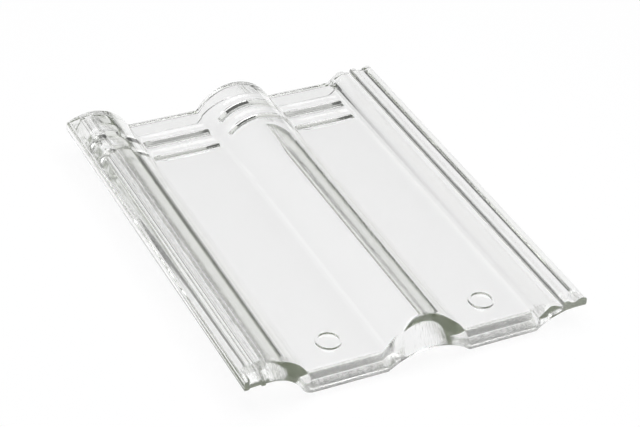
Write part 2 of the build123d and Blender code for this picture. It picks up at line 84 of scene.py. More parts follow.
# %% [markdown]
# ## Soft corners
#
# Moulded acrylic has small soft edges everywhere, and each of them catches a thin line of light.
# A bevel modifier could make them, but it would change the curves as well. Here a section is a
# list of corners, each with the length that is taken off its two sides, and a short curve is
# drawn through every cut.

# %% Soft corners


def soften(corners, steps):
    """Corners as (u, v, cut) turned into a line whose corners are soft curves."""
    points = [corners[0][:2]]
    for index in range(1, len(corners) - 1):
        u, v, cut = corners[index]
        if cut == 0:
            points.append((u, v))
            continue
        ends = []
        for other in (corners[index - 1], corners[index + 1]):
            length = max(math.hypot(other[0] - u, other[1] - v), 1e-6)
            share = min(cut, 0.45 * length) / length
            ends.append((u + (other[0] - u) * share, v + (other[1] - v) * share))
        for step in range(steps + 1):
            t = step / steps
            a, b, c = (1 - t) ** 2, 2 * t * (1 - t), t ** 2
            points.append((a * ends[0][0] + b * u + c * ends[1][0], a * ends[0][1] + b * v + c * ends[1][1]))
    points.append(corners[-1][:2])
    return points


def smooth(value):
    """Soft step from 0 to 1."""
    value = min(max(value, 0.0), 1.0)
    return value * value * (3 - 2 * value)


print("a square corner becomes", len(soften([(0, 0, 0), (1, 0, 0.2), (1, 1, 0)], 4)), "points")

# %% [markdown]
# ## Rolls and pans
#
# Two round-topped rolls stand up from the flat pans, one along the left edge and one in the
# middle. A roll is an arc with a small fillet at each foot. The same arch, lower or with wider
# fillets, comes back at the head, so it is written once as a formula instead of a list of points.

# %% Rolls and pans
WALL = 4.0
ROLL_RADIUS = 43.0
ROLL_FILLET = 3.0
SIDE_X = 24.5
CENTRE_X = 174.5
FLANK_X = 281.0
HALF_FOOT = math.sqrt((ROLL_RADIUS + ROLL_FILLET) ** 2 - (ROLL_FILLET + ROLL_RADIUS - ROLL_HEIGHT) ** 2)


def arch_z(x, centre, foot, rise, fillet):
    """Height of an arch of the rolls' width, with fillets at its feet, standing on foot."""
    radius = (HALF_FOOT ** 2 + rise ** 2 - 2 * fillet * rise) / (2 * rise)
    centre_z = foot + rise - radius
    away = abs(x - centre)
    tangent = HALF_FOOT * radius / (radius + fillet)
    if away <= tangent:
        return centre_z + math.sqrt(radius ** 2 - away ** 2)
    if away < HALF_FOOT:
        return foot + fillet - math.sqrt(max(fillet ** 2 - (HALF_FOOT - away) ** 2, 0.0))
    return foot


def nearest_roll(x):
    """The middle of the roll that x belongs to."""
    return SIDE_X if x < 0.5 * (SIDE_X + CENTRE_X) else CENTRE_X


def over_z(x):
    """Upper surface between the left edge and the underlock."""
    return arch_z(x, nearest_roll(x), 0.0, ROLL_HEIGHT, ROLL_FILLET)


print("a roll is", round(2 * HALF_FOOT, 1), "mm wide at its foot")

# %% [markdown]
# ## Channels under the rolls
#
# Each roll is hollow, so that the roll of the next tile fits under it. The channel is narrower
# than the roll and lies to its left, so the right flank is almost solid. That thick flank bends
# the light and shows as a dark band along the roll, which a wall of one thickness would not
# give. Near the tail the hollow under the centre roll widens to the full arch.

# %% Channels under the rolls
CHANNEL_RADIUS = 22.0
CHANNEL_SHIFT = 4.0
BLOCK_X = 25.0
BLOCK_Z = 12.8
BLOCK_EDGE = 1.5


def thin_z(x):
    """Lower surface where a roll has one wall thickness. The side roll's left half is filled in."""
    centre = nearest_roll(x)
    plain = arch_z(x, centre, -WALL, ROLL_HEIGHT, ROLL_FILLET + WALL)
    if centre == SIDE_X and x < BLOCK_X:
        return BLOCK_Z + (plain - BLOCK_Z) * smooth((x - BLOCK_X + BLOCK_EDGE) / BLOCK_EDGE)
    return plain


def under_z(x):
    """Lower surface. Right of a crest the channel closes in sooner than the roll falls."""
    centre = nearest_roll(x)
    away = x - centre + CHANNEL_SHIFT
    plain = thin_z(x)
    if (centre == SIDE_X and x < BLOCK_X) or away <= 0 or x - centre > HALF_FOOT:
        return plain
    channel = -WALL
    if away < CHANNEL_RADIUS:
        channel = ROLL_HEIGHT - WALL - CHANNEL_RADIUS + math.sqrt(CHANNEL_RADIUS ** 2 - away ** 2)
    return max(-WALL, min(plain, channel))


print("wall at the centre roll's crest:", round(over_z(CENTRE_X) - under_z(CENTRE_X), 2), "mm")

# %% [markdown]
# ## Spacing of the points
#
# Clear acrylic shows every flat facet twice, on its upper and on its lower face. Curves
# therefore get close points, steep walls still closer ones, and the flat pans only a few.

# %% Spacing of the points


def swept(x_from, x_to, height, gap):
    """Points along a curve between two places, no more than about one gap apart."""
    count = max(2, round((x_to - x_from) / gap))
    return [(x, height(x), 0) for x in np.linspace(x_from, x_to, count + 1)]


def spaced(x_from, x_to, height, gap):
    """A roll, a pan, a roll and a pan, with close points on the curves and few on the flats."""
    side_wall = SIDE_X + CHANNEL_RADIUS - CHANNEL_SHIFT
    centre_wall = CENTRE_X + CHANNEL_RADIUS - CHANNEL_SHIFT
    foot = ROLL_FILLET + 0.5
    flat, steep, turn = 6 * gap, gap / 4, gap / 3.5
    stretches = [
        (BLOCK_X - 2.0, gap),
        (BLOCK_X + 0.5, steep),
        (side_wall - 2.0, gap),
        (side_wall + 0.5, steep),
        (SIDE_X + HALF_FOOT - foot, gap),
        (SIDE_X + HALF_FOOT, turn),
        (CENTRE_X - HALF_FOOT, flat),
        (CENTRE_X - HALF_FOOT + foot, turn),
        (centre_wall - 2.0, gap),
        (centre_wall + 0.5, steep),
        (CENTRE_X + HALF_FOOT - foot, gap),
        (CENTRE_X + HALF_FOOT, turn),
        (x_to, flat),
    ]
    points = []
    left = x_from
    for right, step in stretches:
        points.extend(swept(left, right, height, step)[:-1])
        left = right
    return points


print("points over rolls and pans:", len(spaced(0.0, FLANK_X, over_z, 1.7)))

# %% [markdown]
# ## Upper line
#
# The right edge of the tile is the underlock, which the next tile's overlock covers. It has a
# flank that rises from the pan, a narrow groove, and two soft ridges that stop wind-driven rain.
# Its corners are few and all different, so they are simply listed. Each line begins and ends
# with one more point, which only gives the first and last corner a direction and is cut off.

# %% Upper line
LOCK_TOP = [
    (FLANK_X, 0.0, 6.0),
    (292.0, 10.5, 3.0),
    (297.0, 10.0, 2.0),
    (301.0, 8.0, 2.0),
    (304.9, 7.6, 0.5),
    (305.0, 5.4, 0.3),
    (305.9, 5.4, 0.3),
    (306.0, 11.0, 1.5),
    (311.0, 11.0, 3.0),
    (314.5, 8.0, 2.5),
    (319.0, 8.0, 2.5),
    (322.5, 10.8, 2.5),
    (327.5, 10.6, 2.0),
    (TILE_WIDTH, 8.2, 0.6),
    (TILE_WIDTH, 2.4, 0.0),
]


def top_line(gap, steps):
    """Upper line of the section from the lip's outer side to the underlock's edge."""
    edge_z = over_z(0.0)
    corners = [(0.0, edge_z - 5.0, 0), (0.0, edge_z, 1.0)]
    corners += spaced(1.2, FLANK_X - 3.0, over_z, gap)
    corners += LOCK_TOP
    return soften(corners, steps)[1:-1]


print("upper line has", len(top_line(1.7, 5)), "points")

# %% [markdown]
# ## Lower line
#
# From the side roll hang a lip, at the tile's left edge, and a lug that drops into the groove of
# the neighbour. Under the underlock's flank the lower face rises more gently than the upper one.
# The two faces then form a wedge, and a wedge turns the light away, so a soft grey band shows
# along the flank. An upright wall leans by the small step STEEP, because a line that is read as
# one height for each place across the tile has no room for a true upright.

# %% Lower line
LIP_WIDTH = 4.5
LIP_BOTTOM = 8.0
LUG_LEFT = 15.8
LUG_RIGHT = 19.4
LUG_BOTTOM = 8.2
STEEP = 0.06
LOCK_BOTTOM = 2.4
LOCK_UNDER = [
    (FLANK_X + 1.0, -WALL, 6.0),
    (FLANK_X + 14.0, -WALL + 1.9, 8.0),
    (306.0, LOCK_BOTTOM, 4.0),
    (TILE_WIDTH, LOCK_BOTTOM, 0.6),
    (TILE_WIDTH, 7.0, 0),
]


def bottom_line(gap, height):
    """Lower line up to the flank, with the lip and the lug hanging from the given surface."""
    corners = [(0.0, LIP_BOTTOM + 4.0, 0), (0.0, LIP_BOTTOM, 1.0), (LIP_WIDTH, LIP_BOTTOM, 1.0)]
    corners += [(LIP_WIDTH + STEEP, height(LIP_WIDTH), 1.0)]
    corners += swept(LIP_WIDTH + 1.5, LUG_LEFT - 1.0, height, gap)
    corners += [(LUG_LEFT - STEEP, height(LUG_LEFT), 0.6), (LUG_LEFT, LUG_BOTTOM, 0.6)]
    corners += [(LUG_RIGHT, LUG_BOTTOM, 0.6), (LUG_RIGHT + STEEP, height(LUG_RIGHT), 0.6)]
    corners += spaced(LUG_RIGHT + 1.0, FLANK_X - 3.0, height, gap)
    return corners


def section_bottom(gap, steps, height):
    """Lower line of the plain section out to the underlock's edge."""
    return soften(bottom_line(gap, height) + LOCK_UNDER, steps)[1:-1]


print("lower line has", len(section_bottom(1.7, 5, under_z)), "points")

# %% [markdown]
# ## Foot of the head
#
# At the head the tile turns down to a level foot that rests on the roof batten. The foot has the
# same two arches as the section above it, only lower. Under the underlock a slanted end wall
# takes its place.

# %% Foot of the head
HEAD_DROP = 14.0
HEAD_ROLL_RISE = 14.0
HEAD_SIDE_RISE = 24.0
HEAD_SIDE_FILLET = 13.0
HEAD_LOCK_Z = 9.5
HEAD_LOCK_BULGE = 1.2
END_WALL_LINE = [
    (281.0, -14.0),
    (286.0, -9.0),
    (293.5, -4.5),
    (301.5, -1.7),
    (309.0, 0.8),
    (318.0, 1.5),
    (TILE_WIDTH, 1.5),
]


def foot_z(x):
    """Lower edge of the head."""
    if x < SIDE_X:
        crest = -HEAD_DROP + HEAD_SIDE_RISE
        share = (x - LIP_WIDTH) / (SIDE_X - LIP_WIDTH)
        return HEAD_LOCK_Z + (crest - HEAD_LOCK_Z) * share + HEAD_LOCK_BULGE * share * (1 - share)
    if nearest_roll(x) == SIDE_X:
        return arch_z(x, SIDE_X, -HEAD_DROP, HEAD_SIDE_RISE, HEAD_SIDE_FILLET)
    return arch_z(x, CENTRE_X, -HEAD_DROP, HEAD_ROLL_RISE, ROLL_FILLET)


def head_foot(gap, steps):
    """Lower line at the head edge, with the end wall under the underlock."""
    corners = bottom_line(gap, foot_z) + [(x, z, 0.8) for x, z in END_WALL_LINE] + [(TILE_WIDTH, 7.0, 0)]
    return soften(corners, steps)[1:-1]


print("the head's foot lies", HEAD_DROP, "mm below the pans")

# %% [markdown]
# ## Front of the head
#
# Seen from the side, the upper face ends a little behind the head edge and slopes down to it.
# Behind the slope the pans have a solid nose with an upright back, and under the crests only a
# wall is left. Light that enters the slope is turned back by the foot and the back of the nose,
# which is why the front of a pan looks grey and not clear. A BACK or DEPTH below is measured
# from the head edge, a START or REACH across the tile from the middle of a crest, and a FADE is
# the width of a soft change. An upright wall leans by the mould's draft, so that it comes out.

# %% Front of the head
HEAD_BACK = 8.2
PAN_BACK = 5.3
PAN_BACK_START = HALF_FOOT - 2.5
PAN_BACK_FADE = 4.0
SIDE_CREST_BACK = 7.3
SIDE_CREST_X = 12.0
SIDE_CREST_REACH = 26.0
CENTRE_CREST_BACK = 9.5
CENTRE_CREST_REACH = 28.0
CREST_FADE = 18.0
NOSE_DEPTH = 14.0
NOSE_START = 22.0
NOSE_FADE = 5.0
CREST_FOOT = 3.5
CREST_DEPTH = 13.3
BROW = 1.4
CREST_BROW = 0.6
CREST_BROW_REACH = 27.0
CREST_BROW_FADE = 8.0
DRAFT = 0.1


def set_back(x):
    """How far behind the head edge the upper surface ends."""
    if nearest_roll(x) == SIDE_X:
        crest = SIDE_CREST_BACK * smooth((SIDE_CREST_REACH - abs(x - SIDE_CREST_X)) / CREST_FADE)
        beyond = x - SIDE_X
    else:
        beyond = abs(x - CENTRE_X)
        crest = CENTRE_CREST_BACK * smooth((CENTRE_CREST_REACH - beyond) / CREST_FADE)
    return HEAD_BACK + crest + PAN_BACK * smooth((beyond - PAN_BACK_START) / PAN_BACK_FADE)


def brow(x):
    """Length of the soft bend where the upper surface turns down at the head."""
    return BROW + CREST_BROW * smooth((CREST_BROW_REACH - abs(x - CENTRE_X)) / CREST_BROW_FADE)


def nose(x):
    """Where the nose or the crest's wall ends behind the head edge, at the foot and at its top."""
    solid = smooth((abs(x - nearest_roll(x)) - NOSE_START) / NOSE_FADE)
    at_foot = CREST_FOOT + (NOSE_DEPTH - CREST_FOOT) * solid
    at_top = CREST_DEPTH + (NOSE_DEPTH + DRAFT - CREST_DEPTH) * solid
    return at_foot, at_top


left_pan_x = (SIDE_X + CENTRE_X) / 2
print("upper face ends", round(set_back(left_pan_x), 1), "mm behind the head edge on the left pan")

# %% [markdown]
# ## Weather bars
#
# Near the tail two bars cross the underside and break the draught between two tiles. Under a pan
# a bar is shaped like a canoe, and under a roll it is a crescent. A bar is given here as a depth
# and a half width for every place across the tile, so that it grows out of the wall with no
# seam, as in a mould.

# %% Weather bars
BAR_ROWS = (385.0, 358.0)
BAR_DEPTH = 7.0
BAR_HALF = 1.6
BAR_RAMP = 14.0
BAR_POINT = 10.0
BAR_LEAST = 0.15
BAR_DEPTH_CURVE = 0.8
BAR_WIDTH_CURVE = 0.7
BAR_SQUARE = 6
BAR_ACROSS = (-1.0, -0.99, -0.96, -0.9, -0.78, -0.55, -0.2, 0.2, 0.55, 0.78, 0.9, 0.96, 0.99, 1.0)
PANS = (
    (SIDE_X + HALF_FOOT + 2.0, CENTRE_X - HALF_FOOT - 1.0),
    (CENTRE_X + HALF_FOOT + 2.0, FLANK_X - 2.0),
)
CRESCENT_DEPTH = 5.0
CRESCENT_REACH = 28.0
CRESCENT_HALF = 1.5


def bar_at(x):
    """Depth and half width of a bar under x."""
    for left, right in PANS:
        if left < x < right:
            edge = min(x - left, right - x)
            deep = math.sin(0.5 * math.pi * min(edge / BAR_RAMP, 1.0)) ** BAR_DEPTH_CURVE
            wide = math.sin(0.5 * math.pi * min(edge / BAR_POINT, 1.0)) ** BAR_WIDTH_CURVE
            return BAR_DEPTH * deep, max(BAR_HALF * wide, BAR_LEAST)
    away = abs(x - nearest_roll(x))
    if away < CRESCENT_REACH and x > LUG_LEFT:
        return CRESCENT_DEPTH * (1 - (away / CRESCENT_REACH) ** 2), CRESCENT_HALF
    return 0.0, 1.0


print("bar in the middle of a pan, depth and half width:", bar_at(sum(PANS[0]) / 2))

# %% [markdown]
# ## Nail spots
#
# A round bead on each pan marks where the roofer may drill for a nail. It is only about a
# millimetre high, yet it shows, because its two sides bend the light in opposite ways.

# %% Nail spots
SPOTS = (97.5, 247.5)
SPOT_Y = 42.0
SPOT_RADIUS = 10.7
SPOT_BEAD = 1.5
SPOT_HIGH = 1.3
SPOT_CURVE = 0.8
SPOT_REACH = 12.6
SPOT_STEP = 0.6


def spot_z(x, y):
    """Height of a nail spot's bead above the pan."""
    high = 0.0
    for spot in SPOTS:
        away = abs(math.hypot(x - spot, y - SPOT_Y) - SPOT_RADIUS) / SPOT_BEAD
        if away < 1:
            high = SPOT_HIGH * (1 - away ** 2) ** SPOT_CURVE
    return high


print("nail spots at", SPOTS, "mm across, each", 2 * SPOT_RADIUS, "mm wide")

# %% [markdown]
# ## Skirt of the tail
#
# At the tail a thin skirt hangs down to meet the tile below. It follows the rolls, stops short
# at the lock on the left, and runs out in a slope under the underlock's flank.

# %% Skirt of the tail
TAIL_DROP = 18.0
TAIL_WALL = 3.5
LOCK_CLEAR_X = 31.0
LOCK_CLEAR_Z = 12.8
SKIRT_RISE = 9.5
SKIRT_RUN = 11.0
SKIRT_END_X = FLANK_X + SKIRT_RUN


def skirt_z(x):
    """Lower edge of the tail's skirt."""
    if x < LOCK_CLEAR_X:
        return LOCK_CLEAR_Z
    if x <= FLANK_X:
        return over_z(x) - TAIL_DROP
    return -TAIL_DROP + (x - FLANK_X) * SKIRT_RISE / SKIRT_RUN


print("the skirt hangs to", skirt_z(SPOTS[0]), "mm under the left pan")

# %% [markdown]
# ## Columns
#
# The skin is a set of columns that stand side by side across the tile. Each one needs a place of
# its own wherever the section has a corner, a bar ends or a nail spot lies. The heights come
# from the same lines drawn with very close points.

# %% Columns
STEPS = 5
COARSE_GAP = 1.7
FINE_GAP = 0.25
FINE_STEPS = 24
LEAST_GAP = 0.025
BAR_END_PLACES = (0.4, 1, 2, 3.5, 5, 7.5, 10, 14)


def heights(line, xs):
    """Heights of a line of points at many places."""
    points = np.array(line)
    return np.interp(xs, points[:, 0], points[:, 1])


def column_places():
    """Places of the columns: the lines' corners, the bars' ends, the spots and the skirt's ends."""
    places = [p[0] for p in top_line(COARSE_GAP, STEPS)]
    places += [p[0] for p in section_bottom(COARSE_GAP, STEPS, under_z)]
    places += [p[0] for p in head_foot(COARSE_GAP, STEPS)]
    for wall in (FLANK_X + WALL, SKIRT_END_X, LOCK_CLEAR_X):
        places += [wall, wall + STEEP]
    for left, right in PANS:
        places += [left + d for d in BAR_END_PLACES] + [right - d for d in BAR_END_PLACES]
    for spot in SPOTS:
        places += list(np.arange(spot - SPOT_REACH, spot + SPOT_REACH + 0.01, SPOT_STEP))
    kept = []
    for place in sorted(places):
        if not kept or place - kept[-1] > LEAST_GAP:
            kept.append(float(place))
    return np.array(kept)


columns = column_places()
fine_top = heights(top_line(FINE_GAP, FINE_STEPS), columns)
fine_bottom = heights(section_bottom(FINE_GAP, FINE_STEPS, under_z), columns)
fine_thin = heights(section_bottom(FINE_GAP, FINE_STEPS, thin_z), columns)
fine_foot = heights(head_foot(FINE_GAP, FINE_STEPS), columns)
print("columns:", len(columns), "from", columns[0], "to", columns[-1])

# %% [markdown]
# ## Head end of a column
#
# The skin is a set of closed lines, one for each column, each in a plane along the tile. Every
# column has the same number of points, so its neighbours can be joined to it without a thought
# about where a feature starts. At the head a column goes down the slope and the edge, back along
# the foot and up behind the nose. Beside the head it only turns the tile's corner, and under the
# underlock it climbs from the end wall.

# %% Head end of a column
HEAD_EDGE = 5.0
LOCK_BACK = 6.0
END_WALL = 4.0
END_WALL_RAMP = 14.0
END_WALL_HIGH = 3.0
END_WALL_FADE = 2.0
EDGE_CUT = 0.8
FOOT_CUT = 0.6
HEAD_EDGE_CUT = 1.4
HEAD_FOOT_CUT = 0.9
NOSE_FOOT_CUT = 0.4
NOSE_TOP_CUT = 0.3


def head_points(x, top, low, foot):
    """Points down the head and back along its foot to the underside."""
    in_head = LIP_WIDTH + STEEP / 2 < x < FLANK_X + STEEP / 2
    if in_head:
        points = [(set_back(x), top, brow(x))]
        points += [(0.0, foot + HEAD_EDGE, HEAD_EDGE_CUT), (0.0, foot, HEAD_FOOT_CUT)]
    else:
        points = [(LOCK_BACK, top, EDGE_CUT), (0.0, top, EDGE_CUT), (0.0, foot, EDGE_CUT)]
    if in_head or x < FLANK_X + WALL + STEEP / 2:
        at_foot, at_top = nose(x)
        return points + [(at_foot, foot, NOSE_FOOT_CUT), (at_top, low, NOSE_TOP_CUT)]
    ramp = END_WALL_RAMP * smooth((END_WALL_HIGH - low + foot) / END_WALL_FADE)
    return points + [(END_WALL, foot, FOOT_CUT), (END_WALL + DRAFT + ramp, low, FOOT_CUT)]


print("points at the head end of a column:", len(head_points(SPOTS[0], 0.0, -WALL, -HEAD_DROP)))

# %% [markdown]
# ## Tail end of a column
#
# Towards the tail a column passes the two bars, goes down the skirt and up the end of the tile.
# A bar is drawn as half of a squared oval, with more points near its sides, where it bends most.
# Where there is no bar or no skirt, the same points simply lie flat in the line.

# %% Tail end of a column
BAR_GAP = 13.0


def tail_points(x, top, low):
    """Points along the underside past the bars, down the skirt and up the tail."""
    points = []
    depth, half = bar_at(x)
    for bar in BAR_ROWS[::-1]:
        points += [(bar + half * t, low - depth * (1 - abs(t) ** BAR_SQUARE) ** 0.5, 0) for t in BAR_ACROSS]
        points += [(bar + BAR_GAP, low, 0)]
    has_skirt = LIP_WIDTH + STEEP / 2 < x < SKIRT_END_X + STEEP / 2
    skirt = min(low, skirt_z(x)) if has_skirt else low
    wall_y = TILE_LENGTH - TAIL_WALL
    points += [(wall_y - DRAFT, low, EDGE_CUT), (wall_y, skirt, FOOT_CUT), (TILE_LENGTH, skirt, FOOT_CUT)]
    return points + [(TILE_LENGTH, top - 1.0, 0)]


print("points at the tail end of a column:", len(tail_points(SPOTS[0], 0.0, -WALL)))

# %% [markdown]
# ## One column
#
# The whole line runs over the top from the tail, past the nail spots, down the head, and back
# along the underside. The side roll keeps its narrow channel as far as the tail, and the one
# under the centre roll widens before the bars, in a slope that a high place of the underside
# meets later than a low one.

# %% One column
CHANNEL_END = 345.0
CHANNEL_END_RUN = 25.0
CHANNEL_END_SPARE = 1.0
CHANNEL_END_GAP = 4.0
SLOPE_CUT = 1.2
SLOPE_APART = 0.4
TOP_ROWS = [414.0, 400.0, 380.0, 330.0, 270.0, 210.0, 150.0, 100.0, 70.0, 58.0]
TOP_ROWS += list(np.arange(SPOT_Y + SPOT_REACH, SPOT_Y - SPOT_REACH - 0.01, -SPOT_STEP))
TOP_ROWS += [27.0, 24.0, 21.5]
LOW_ROWS = [22.0, 40.0, 100.0, 180.0, 240.0, 300.0]


def column_line(x, top, low, thin, foot):
    """Points (y, z) round the tile at one column, thin being the underside near the tail."""
    line = [(TILE_LENGTH, top - 3.0, 0), (TILE_LENGTH, top, EDGE_CUT)]
    line += [(y, top + spot_z(x, y), 0) for y in TOP_ROWS]
    line += head_points(x, top, low, foot)
    line += [(y, low, 0) for y in LOW_ROWS]
    slope_y = CHANNEL_END - CHANNEL_END_RUN
    slope = CHANNEL_END_RUN / (ROLL_HEIGHT + WALL + 2 * CHANNEL_END_SPARE)
    for z, apart in ((low, 0.0), (thin, SLOPE_APART)):
        line += [(slope_y + (z + WALL + CHANNEL_END_SPARE) * slope + apart, z, SLOPE_CUT)]
    line += [(CHANNEL_END + CHANNEL_END_GAP, thin, 0)]
    return soften(line + tail_points(x, top, thin), STEPS)[1:-1]


loops = []
for x, top, low, full, foot in zip(columns, fine_top, fine_bottom, fine_thin, fine_foot):
    thin = low if x < SIDE_X + HALF_FOOT else max(low, full)
    loops.append(column_line(x, top, low, thin, foot))
print("points in a column:", len(loops[0]))

# %% [markdown]
# ## Skin
#
# Neighbouring columns are joined with four-sided faces, and the first and last one are closed
# with a single face each. That gives one closed surface, which a clear material needs: Blender
# can only tell where a ray enters and leaves the acrylic when the surface has no gap. The skin
# then takes the place of the solid and stands still with it.

# %% Skin
rows = len(loops[0])
points = [in_frame(x, y, z) for x, loop in zip(columns, loops) for y, z in loop]
faces = []
for i in range(len(columns) - 1):
    for j in range(rows):
        k = (j + 1) % rows
        faces.append((i * rows + j, i * rows + k, (i + 1) * rows + k, (i + 1) * rows + j))
faces.append(tuple(range(rows - 1, -1, -1)))
faces.append(tuple((len(columns) - 1) * rows + j for j in range(rows)))
mesh = bpy.data.meshes.new("roof_tile_skin")
mesh.from_pydata([tuple(p) for p in points], [], faces)
mesh.update()
mesh.shade_smooth()
skin = bpy.data.objects.new("roof_tile_skin", mesh)
bpy.context.scene.collection.objects.link(skin)
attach(skin, "root")
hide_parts("roof_tile")
print("skin triangles:", sum(len(f) - 2 for f in faces))

# %% [markdown]
# ## Helpers for materials
#
# Colours are written as the hex values that a screen shows, and one function turns them into the
# linear light that Blender works with. One more adds a shader node with its settings, and sets
# or links its sockets.

# %% Helpers for materials


def rgb(hex_code):
    """A hex colour as linear red, green, blue and alpha."""
    values = [int(hex_code[i:i + 2], 16) / 255 for i in (1, 3, 5)]
    linear = [v / 12.92 if v <= 0.04045 else ((v + 0.055) / 1.055) ** 2.4 for v in values]
    return linear + [1.0]


def add_node(tree, kind, sockets=None, **settings):
    """Add a shader node with its settings. A socket takes a value or another node's output."""
    node = tree.nodes.new(kind)
    for name, value in settings.items():
        setattr(node, name, value)
    for name, value in (sockets or {}).items():
        if isinstance(value, bpy.types.NodeSocket):
            tree.links.new(value, node.inputs[name])
        else:
            node.inputs[name].default_value = value
    return node


print("middle grey in linear light:", round(rgb("#808080")[0], 3))

# %% [markdown]
# ## Clear acrylic
#
# The tile is moulded PMMA, known as acrylic. It is as clear as glass and bends light a little
# less, with an index of 1.49, and the polished mould leaves it almost mirror smooth. A cut end
# looks olive, because light that runs a long way inside the wall loses more red and blue than
# green. A volume gives that tint only where the path is long, so the thin pans stay clear.

# %% Clear acrylic
ACRYLIC_IOR = 1.49
MOULDED_ROUGHNESS = 0.02
TINT_PER_METRE = 7.0

acrylic = bpy.data.materials.new("clear_acrylic")
acrylic.use_nodes = True
tree = acrylic.node_tree
surface = tree.nodes["Principled BSDF"]
surface.inputs["Base Color"].default_value = rgb("#FFFFFF")
surface.inputs["IOR"].default_value = ACRYLIC_IOR
surface.inputs["Transmission Weight"].default_value = 1.0
tint = add_node(tree, "ShaderNodeVolumeAbsorption", {"Color": rgb("#CBD0C2"), "Density": TINT_PER_METRE})
tree.links.new(tint.outputs["Volume"], tree.nodes["Material Output"].inputs["Volume"])
skin.data.materials.append(acrylic)
print("material:", acrylic.name, "with an index of", ACRYLIC_IOR)

# %% [markdown]
# ## Where the mould was rough
#
# The front of the head and the inner right side of each channel are less well polished than the
# rest. The first patch is everything in front of a line behind the head edge. The others are
# strips under the right flank of each roll, kept off the upper face by a slanting plane through
# the wall.

# %% Where the mould was rough
HEAD_PATCH_START = 16.5
HEAD_PATCH_FULL = 13.5
FLANK_PATCHES = ((185.0, 18.5), (28.0, 22.0))
FLANK_PATCH_HALF = 8.0
FLANK_PATCH_FALL = 0.5

place = add_node(tree, "ShaderNodeTexCoord")
parts = add_node(tree, "ShaderNodeSeparateXYZ", {"Vector": place.outputs["Object"]})
head_inputs = {
    "Value": parts.outputs["Y"],
    "From Min": in_frame(0.0, HEAD_PATCH_START, 0.0).y,
    "From Max": in_frame(0.0, HEAD_PATCH_FULL, 0.0).y,
}
on_head = add_node(tree, "ShaderNodeMapRange", head_inputs).outputs["Result"]
strips = []
for middle, level in FLANK_PATCHES:
    core = in_frame(middle, 0.0, level)
    strip_inputs = {0: parts.outputs["X"], 1: core.x, 2: FLANK_PATCH_HALF / 1000}
    near = add_node(tree, "ShaderNodeMath", strip_inputs, operation="COMPARE").outputs[0]
    plane_inputs = {0: parts.outputs["X"], 1: -FLANK_PATCH_FALL, 2: core.z + FLANK_PATCH_FALL * core.x}
    plane = add_node(tree, "ShaderNodeMath", plane_inputs, operation="MULTIPLY_ADD").outputs[0]
    below_inputs = {0: parts.outputs["Z"], 1: plane}
    below = add_node(tree, "ShaderNodeMath", below_inputs, operation="LESS_THAN").outputs[0]
    strips.append(add_node(tree, "ShaderNodeMath", {0: near, 1: below}, operation="MULTIPLY").outputs[0])
in_channel = add_node(tree, "ShaderNodeMath", {0: strips[0], 1: strips[1]}, operation="MAXIMUM").outputs[0]
print("rough patches:", 1 + len(strips))

# %% [markdown]
# ## Streaks
#
# There the mould left fine streaks, along the channels and up the head. They are about a
# millimetre wide and twenty times as long, and much too fine to draw as faces. A stretched noise
# pattern tilts the surface a little from streak to streak instead, which mixes light and dark
# rays inside the acrylic. Their real height is not known, and it is set high enough to show.

# %% Streaks
STREAKS_PER_MM = 0.9
STREAK_STRETCH = 20.0
STREAK_HEIGHT = 0.4
HEAD_STREAK = 1.5
CHANNEL_STREAK = 1.0
HEAD_ROUGHNESS = 0.05

streak_scale = 1000 * STREAKS_PER_MM
long_scale = streak_scale / STREAK_STRETCH
stretch_inputs = {"Vector": place.outputs["Object"], "Scale": (streak_scale, long_scale, long_scale)}
stretch = add_node(tree, "ShaderNodeMapping", stretch_inputs)
noise_inputs = {"Vector": stretch.outputs["Vector"], "Scale": 1.0, "Detail": 3.0, "Roughness": 0.6}
streaks = add_node(tree, "ShaderNodeTexNoise", noise_inputs)
head_share = add_node(tree, "ShaderNodeMath", {0: on_head, 1: HEAD_STREAK}, operation="MULTIPLY").outputs[0]
channel_inputs = {0: in_channel, 1: CHANNEL_STREAK}
channel_share = add_node(tree, "ShaderNodeMath", channel_inputs, operation="MULTIPLY").outputs[0]
strength = add_node(tree, "ShaderNodeMath", {0: head_share, 1: channel_share}, operation="MAXIMUM").outputs[0]
relief = {"Height": streaks.outputs["Fac"], "Strength": strength, "Distance": STREAK_HEIGHT / 1000}
ridges = add_node(tree, "ShaderNodeBump", relief)
tree.links.new(ridges.outputs["Normal"], surface.inputs["Normal"])
dull_inputs = {"Value": on_head, "To Min": MOULDED_ROUGHNESS, "To Max": HEAD_ROUGHNESS}
dull = add_node(tree, "ShaderNodeMapRange", dull_inputs)
tree.links.new(dull.outputs["Result"], surface.inputs["Roughness"])
print("streaks are", round(1 / STREAKS_PER_MM, 2), "mm wide and", round(1000 / long_scale, 1), "mm long")

# %% [markdown]
# ## Bounces inside the wall
#
# Light that enters a cut end is turned back many times inside the wall before it leaves. With
# few bounces those rays would end in black, so this scene lets them run on.

# %% Bounces inside the wall
MOST_BOUNCES = 160

paths = bpy.context.scene.cycles
paths.max_bounces = MOST_BOUNCES
paths.glossy_bounces = MOST_BOUNCES
paths.transmission_bounces = MOST_BOUNCES
print("bounces allowed:", paths.max_bounces)

# %% [markdown]
# ## White paper
#
# The tile lies on white paper. A lit paper would have to be overexposed to look white, and the
# acrylic with it. Instead the paper glows white for the camera and for rays that come through or
# off the tile, and it is ordinary matte paper for everything else. Each glow is a little less
# than full, so the tile keeps a soft shadow beside it and under it. The paper lies half a
# millimetre below the tile's feet, since two faces in one plane would flicker.

# %% White paper
SEEN_SHARE = 0.9
THROUGH_SHARE = 0.85
PAPER_SIDE = 8.0
PAPER_GAP = 0.0005

